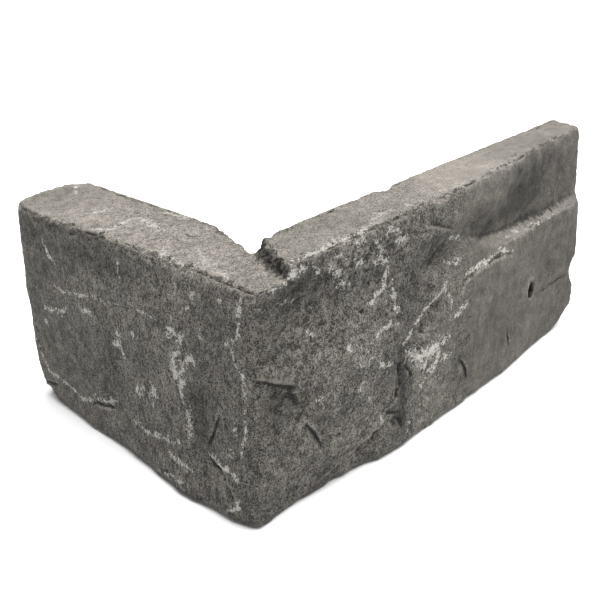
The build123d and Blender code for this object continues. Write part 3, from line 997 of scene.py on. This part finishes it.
def crumbly_patch_group():
    """A soft field cut to a crisp crumbly patch."""
    board, given, out = new_group(
        "Crumbly Patch",
        (("Place", "NodeSocketVector"), ("Field", "NodeSocketFloat"), ("Cut", "NodeSocketFloat")),
        (("Mask", "NodeSocketFloat"),),
    )
    coarse = board.noise(given["Place"], 0.0026, 3.0, 0.7)
    fine = board.noise(given["Place"], 0.0009, 2.0, 0.8)
    grain = board.math("ADD", board.math("MULTIPLY", coarse, 3.0), board.math("MULTIPLY", fine, 2.8))
    field = board.math("ADD", given["Field"], board.math("SUBTRACT", grain, 2.9))
    over = board.math("SUBTRACT", field, given["Cut"])
    mask = board.ease(over, -0.12, 0.2)
    present = board.ease(given["Field"], 0.02, 0.15)
    board.join(board.math("MULTIPLY", mask, present), out["Mask"])
    return board.tree


def crack_shade_line_group():
    """A thin ragged line of painted shade where a signed distance in millimetres passes through 0."""
    board, given, out = new_group(
        "Crack Shade Line",
        (("Place", "NodeSocketVector"), ("Offset", "NodeSocketFloat"), ("Darkness", "NodeSocketFloat")),
        (("Mask", "NodeSocketFloat"),),
    )
    ragged = board.swing(board.noise(given["Place"], 0.0016, 3.0, 0.75), 1.5)
    line = board.math("ABSOLUTE", board.math("ADD", given["Offset"], ragged))
    width = board.ease(board.noise(given["Place"], 0.003, 1.0, 0.5), 0.35, 0.65, 0.25, 0.75)
    share = board.math("DIVIDE", line, width)
    board.join(board.math("MULTIPLY", board.ease(share, 1.35, 0.6), given["Darkness"]), out["Mask"])
    return board.tree


def rock_material(finish):
    """Matt riven rock with bleached tops, mineral crust, and painted shade in its cracks and hollows."""
    material = bpy.data.materials.new("riven_rock")
    material.use_nodes = True
    tree = material.node_tree
    tree.nodes.clear()
    board = Board(tree)
    place = board.put("ShaderNodeTexCoord").outputs["Object"]
    top, sawn = board.attribute("top"), board.attribute("sawn")
    ridge, short, calm = board.attribute("ridge"), board.attribute("short"), board.attribute("calm")

    grain = board.group(
        rock_grain_group(finish.grain), ("Place", place), ("Short Face", short), ("Calm", calm)
    )
    tone = grain["Tone"]

    dark, light = (*finish.dark, 1.0), (*finish.light, 1.0)
    colour = board.mix(board.ease(tone, *ROCK_TONES), dark, light)
    colour = board.mix(board.math("MULTIPLY", grain["Flecks"], 0.35), colour, (*finish.rust, 1.0))

    # Dust lies on the tops. Slopes that face up are lightened too, partly dust and partly painted light from
    # above.
    patch = crumbly_patch_group()
    dusty = board.group(patch, ("Place", place), ("Field", top), ("Cut", DUST_CUT))["Mask"]
    bleached = board.mix(board.ease(tone, *TOP_TONES), (*finish.bleached_dark, 1.0), (*finish.bleached, 1.0))
    colour = board.mix(board.math("MULTIPLY", dusty, 0.92), colour, bleached)
    colour = board.mix(board.math("MULTIPLY", board.attribute("dust_and_painted_light"), 0.5), colour, bleached)

    # Ridges are lightened, partly scuffing and partly a painted highlight, and hollows are darkened with
    # painted shade.
    colour = board.mix(board.ease(ridge, 0.6, 1.0, 0.0, 0.35), colour, (*finish.bleached, 1.0))
    colour = board.mix(board.ease(ridge, 0.45, 0.05, 0.0, 0.75), colour, dark)
    # The shade attribute brings stains and painted shade, and the blotches are stains; together they darken
    # or lighten the stone.
    blotches = board.math("MULTIPLY", grain["Stain"], board.ease(top, 0.0, 1.0, 1.0, 0.5))
    stain = board.math("ADD", board.math("SUBTRACT", board.attribute("shade"), 0.5), blotches)
    dimmest, brightest = STAIN_AND_SHADE_VALUES
    limits = ((0, stain), (1, -0.5), (2, 0.5), (3, dimmest), (4, brightest))
    value = board.put("ShaderNodeMapRange", limits).outputs[0]
    colour = board.put("ShaderNodeHueSaturation", (("Color", colour), ("Value", value))).outputs[0]

    # Mineral crust, and the painted shade of the thin cracks, lie over the rock.
    field = board.attribute("mineral")
    crust = board.group(patch, ("Place", place), ("Field", field), ("Cut", MINERAL_CUT))["Mask"]
    pale = board.math("MULTIPLY", crust, board.ease(tone, 0.4, 0.6, 0.45, 0.9))
    colour = board.mix(pale, colour, (*finish.mineral, 1.0))
    offset, darkness = board.attribute("crack_offset"), board.attribute("crack_shade")
    line = board.group(crack_shade_line_group(), ("Place", place), ("Offset", offset), ("Darkness", darkness))
    colour = board.mix(line["Mask"], colour, (*finish.crack_shade, 1.0))

    # The saw has left faint level lines on the backs.
    level = board.stretched(place, (SAW_RUN, SAW_RUN, 1.0))
    lines = board.swing(board.noise(level, SAW_PITCH, 3.0, 0.6), SAW_STRENGTH)
    sawn_tone = board.ease(board.math("ADD", tone, lines), *SAWN_TONES)
    saw = board.mix(sawn_tone, (*finish.sawn_dark, 1.0), (*finish.sawn, 1.0))
    colour = board.mix(sawn, colour, saw)

    height = board.math("ADD", grain["Height"], board.math("MULTIPLY", lines, sawn))
    bump = board.put("ShaderNodeBump", (("Strength", 1.0), ("Distance", BUMP), ("Height", height)))
    rough = board.ease(grain["Height"], 0.3, 0.9, 0.95, 0.78)
    inputs = (
        ("Base Color", colour),
        ("Roughness", rough),
        ("Specular IOR Level", 0.3),
        ("Normal", bump.outputs["Normal"]),
    )
    shader = board.put("ShaderNodeBsdfPrincipled", inputs)
    board.put("ShaderNodeOutputMaterial", (("Surface", shader.outputs["BSDF"]),))
    return material


class CORNERSTONE_OT_finish(bpy.types.Operator):
    """Give the riven stone its rock finish"""

    bl_idname = "corner_stone.finish"
    bl_label = "Rock Finish"

    def execute(self, context):
        piece = bpy.data.objects.get(PIECE)
        if piece is None:
            raise RuntimeError("make the riven stone first")
        piece.data.materials.clear()
        piece.data.materials.append(rock_material(context.scene.stone_finish))
        return {"FINISHED"}


def plain_material(name, colour):
    """Matt paint."""
    material = bpy.data.materials.new(name)
    material.use_nodes = True
    shader = material.node_tree.nodes["Principled BSDF"]
    shader.inputs["Base Color"].default_value = (*colour, 1.0)
    shader.inputs["Roughness"].default_value = 0.9
    shader.inputs["Specular IOR Level"].default_value = 0.1
    return material


def studio_camera():
    """A camera that stands left of the outer corner and looks down over it."""
    yaw, pitch, roll = radians(CAMERA_YAW), radians(CAMERA_PITCH), radians(CAMERA_ROLL)
    ahead = Vector((sin(yaw) * cos(pitch), cos(yaw) * cos(pitch), -sin(pitch)))
    right = Vector((cos(yaw), -sin(yaw), 0.0))
    down = ahead.cross(right)
    across = cos(roll) * right + sin(roll) * down
    below = -sin(roll) * right + cos(roll) * down
    data = bpy.data.cameras.new("studio_camera")
    data.lens, data.sensor_width = CAMERA_LENS, CAMERA_SENSOR
    camera = bpy.data.objects.new("studio_camera", data)
    bpy.context.scene.collection.objects.link(camera)
    place = Matrix((across, -below, -ahead)).transposed().to_4x4()
    place.translation = Vector(CAMERA_PLACE)
    camera.matrix_world = place
    bpy.context.scene.camera = camera


class CORNERSTONE_OT_stage(bpy.types.Operator):
    """Lay the pale floor, hang the soft light and place the camera"""

    bl_idname = "corner_stone.stage"
    bl_label = "Studio Stage"

    def execute(self, context):
        stage = context.scene.studio_stage
        mesh = bpy.data.meshes.new("floor")
        corners = [(FLOOR_REACH * x, FLOOR_REACH * y, 0) for x, y in ((-1, -1), (1, -1), (1, 1), (-1, 1))]
        mesh.from_pydata(corners, [], [(0, 1, 2, 3)])
        floor = bpy.data.objects.new("floor", mesh)
        context.scene.collection.objects.link(floor)
        mesh.materials.append(plain_material("floor_paint", stage.floor))

        light = bpy.data.lights.new("broad_light", "SUN")
        light.energy = stage.top_light
        light.angle = radians(LIGHT_SPREAD)
        lamp = bpy.data.objects.new("broad_light", light)
        lamp.rotation_euler = Euler([radians(angle) for angle in LIGHT_TILT])
        context.scene.collection.objects.link(lamp)

        world = bpy.data.worlds.new("studio")
        world.use_nodes = True
        backdrop = world.node_tree.nodes["Background"]
        backdrop.inputs["Color"].default_value = (1.0, 1.0, 1.0, 1.0)
        backdrop.inputs["Strength"].default_value = stage.sky
        context.scene.world = world
        context.scene.view_settings.view_transform = "Standard"
        studio_camera()
        return {"FINISHED"}


class CORNERSTONE_PT_panel(bpy.types.Panel):
    """Shows the values and buttons that make the corner stone"""

    bl_label = "Corner Stone"
    bl_idname = "CORNERSTONE_PT_panel"
    bl_space_type = "VIEW_3D"
    bl_region_type = "UI"
    bl_category = "Corner Stone"

    def draw(self, context):
        scene = context.scene
        groups = (
            (CORNERSTONE_OT_shape, scene.stone_shape),
            (CORNERSTONE_OT_finish, scene.stone_finish),
            (CORNERSTONE_OT_stage, scene.studio_stage),
        )
        for operator, values in groups:
            box = self.layout.box()
            for name in values.__annotations__:
                box.prop(values, name)
            box.operator(operator.bl_idname)


CLASSES = (
    StoneShape,
    StoneFinish,
    StudioStage,
    CORNERSTONE_OT_shape,
    CORNERSTONE_OT_finish,
    CORNERSTONE_OT_stage,
    CORNERSTONE_PT_panel,
)


def register():
    """Add the classes and the scene's values."""
    for item in CLASSES:
        bpy.utils.register_class(item)
    bpy.types.Scene.stone_shape = PointerProperty(type=StoneShape)
    bpy.types.Scene.stone_finish = PointerProperty(type=StoneFinish)
    bpy.types.Scene.studio_stage = PointerProperty(type=StudioStage)


def unregister():
    """Take the classes and the scene's values away."""
    del bpy.types.Scene.studio_stage
    del bpy.types.Scene.stone_finish
    del bpy.types.Scene.stone_shape
    for item in reversed(CLASSES):
        bpy.utils.unregister_class(item)


def main():
    """Build everything."""
    register()
    bpy.ops.corner_stone.shape()
    bpy.ops.corner_stone.finish()
    bpy.ops.corner_stone.stage()


if __name__ == "__main__":
    main()
